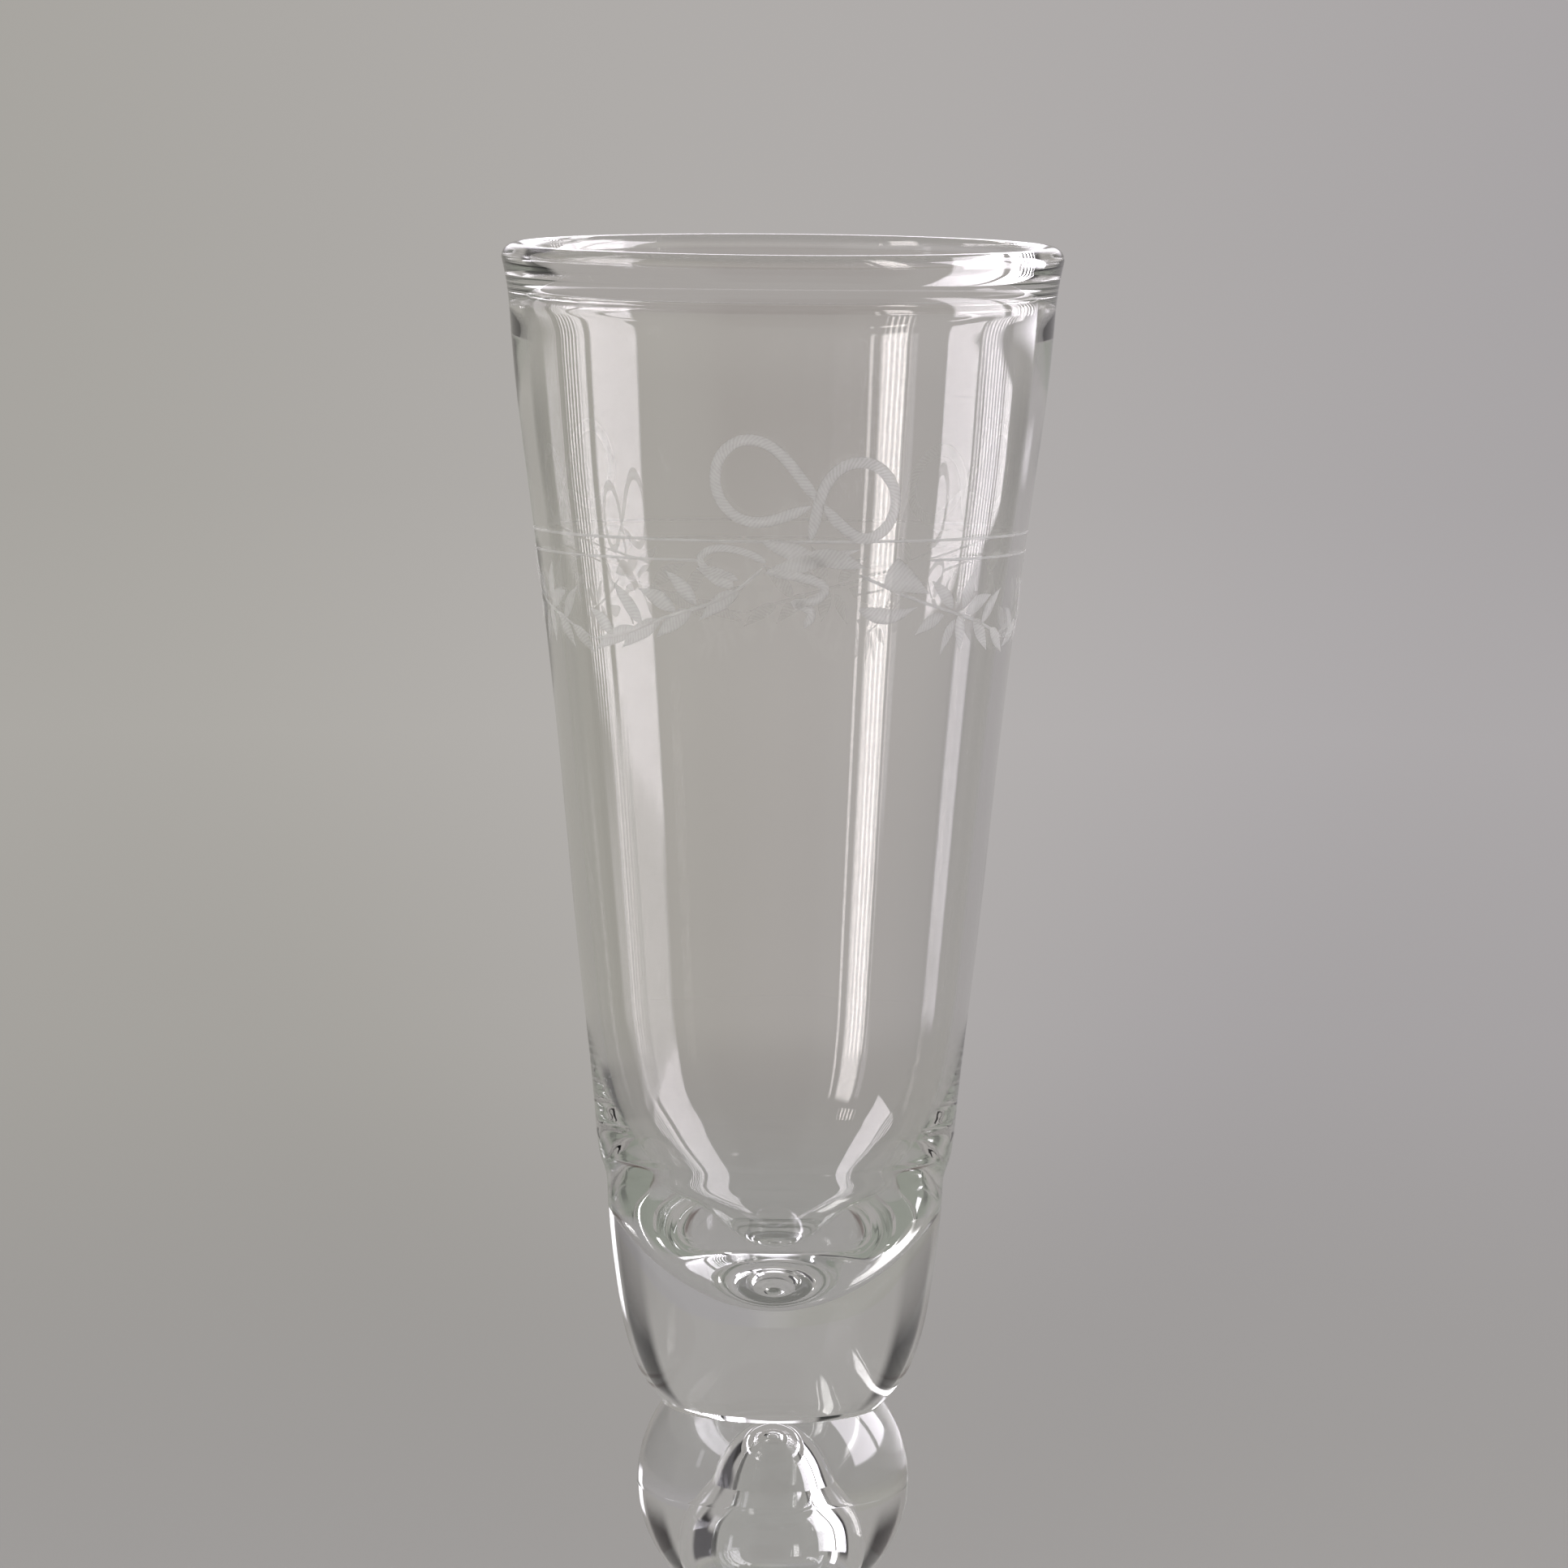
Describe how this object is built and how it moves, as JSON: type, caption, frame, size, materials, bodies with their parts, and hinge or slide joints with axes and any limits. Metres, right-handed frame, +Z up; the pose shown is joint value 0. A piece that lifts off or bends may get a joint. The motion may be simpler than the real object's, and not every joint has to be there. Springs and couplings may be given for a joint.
{
  "type": "champagne flute",
  "caption": "Stemmed flute in clear hand-made glass: tall conical bowl with engraved garland and rings, ball knop with an air tear, round foot.",
  "frame": {"origin": "centre of the foot's resting ring, on the surface the flute stands on", "axes": "+Z up the flute's axis to the rim; the front engraved bow faces -Y"},
  "size_m": [0.066, 0.066, 0.2005],
  "materials": {
    "clear_glass": "fire-polished clear soda glass with a faint green tint",
    "engraved_glass": "wheel-cut matt grey-white engraving"
  },
  "bodies": {
    "root": {"bowl": "clear_glass", "knop_cap": "clear_glass", "knop_body": "clear_glass", "stem": "clear_glass", "foot": "clear_glass"}
  },
  "joints": []
}
